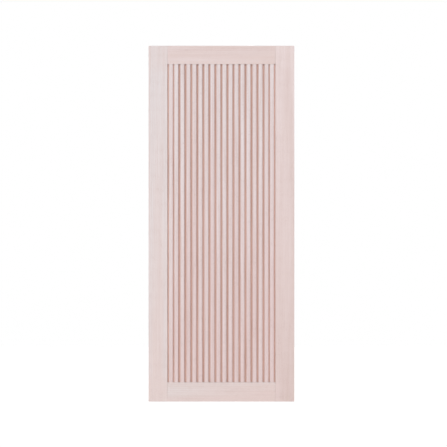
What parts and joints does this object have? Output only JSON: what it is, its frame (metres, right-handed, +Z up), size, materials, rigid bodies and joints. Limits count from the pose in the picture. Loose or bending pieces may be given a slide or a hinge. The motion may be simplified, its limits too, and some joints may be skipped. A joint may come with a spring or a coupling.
{
  "type": "slatted wood wardrobe door",
  "caption": "Solid wood wardrobe door: a plain frame round close vertical slats over a back panel, hung on concealed cup hinges so that it swings open.",
  "frame": {"origin": "midway between the two screw holes of the middle hinge plate, on its face that seats against the inside of the wardrobe's side, at the door's mid-height", "axes": "+Z up, the front of the door faces -Y, +X from the hinge edge to the free edge"},
  "size_m": [0.5, 0.0925, 1.22],
  "materials": {
    "frame_wood": "bare sanded hardwood",
    "slat_wood": "bare sanded hardwood",
    "panel_wood": "bare sanded hardwood",
    "hinge_steel": "nickel plated",
    "pin_steel": "polished",
    "screw_steel": "nickel plated"
  },
  "bodies": {
    "hinge_mounts": {"upper_hinge_arm": "hinge_steel", "middle_hinge_arm": "hinge_steel", "lower_hinge_arm": "hinge_steel", "upper_hinge_plate": "hinge_steel", "middle_hinge_plate": "hinge_steel", "lower_hinge_plate": "hinge_steel", "arm_screws": "screw_steel"},
    "door": {"hinge_stile": "frame_wood", "closing_stile": "frame_wood", "top_rail": "frame_wood", "bottom_rail": "frame_wood", "top_bead": "frame_wood", "bottom_bead": "frame_wood", "hinge_side_bead": "frame_wood", "closing_side_bead": "frame_wood", "slat_01": "slat_wood", "slat_02": "slat_wood", "slat_03": "slat_wood", "slat_04": "slat_wood", "slat_05": "slat_wood", "slat_06": "slat_wood", "slat_07": "slat_wood", "slat_08": "slat_wood", "slat_09": "slat_wood", "slat_10": "slat_wood", "slat_11": "slat_wood", "slat_12": "slat_wood", "slat_13": "slat_wood", "slat_14": "slat_wood", "slat_15": "slat_wood", "slat_16": "slat_wood", "slat_17": "slat_wood", "slat_18": "slat_wood", "back_panel": "panel_wood", "bead_brads": "screw_steel", "upper_hinge_cup": "hinge_steel", "middle_hinge_cup": "hinge_steel", "lower_hinge_cup": "hinge_steel", "upper_hinge_pin": "pin_steel", "middle_hinge_pin": "pin_steel", "lower_hinge_pin": "pin_steel", "cup_screws": "screw_steel"}
  },
  "joints": [
    {"name": "door_swing", "type": "hinge", "parent": "hinge_mounts", "child": "door", "pos_m": [-0.00753, -0.04975, 0], "axis": [0, 0, -1], "range_deg": [0, 95]}
  ]
}
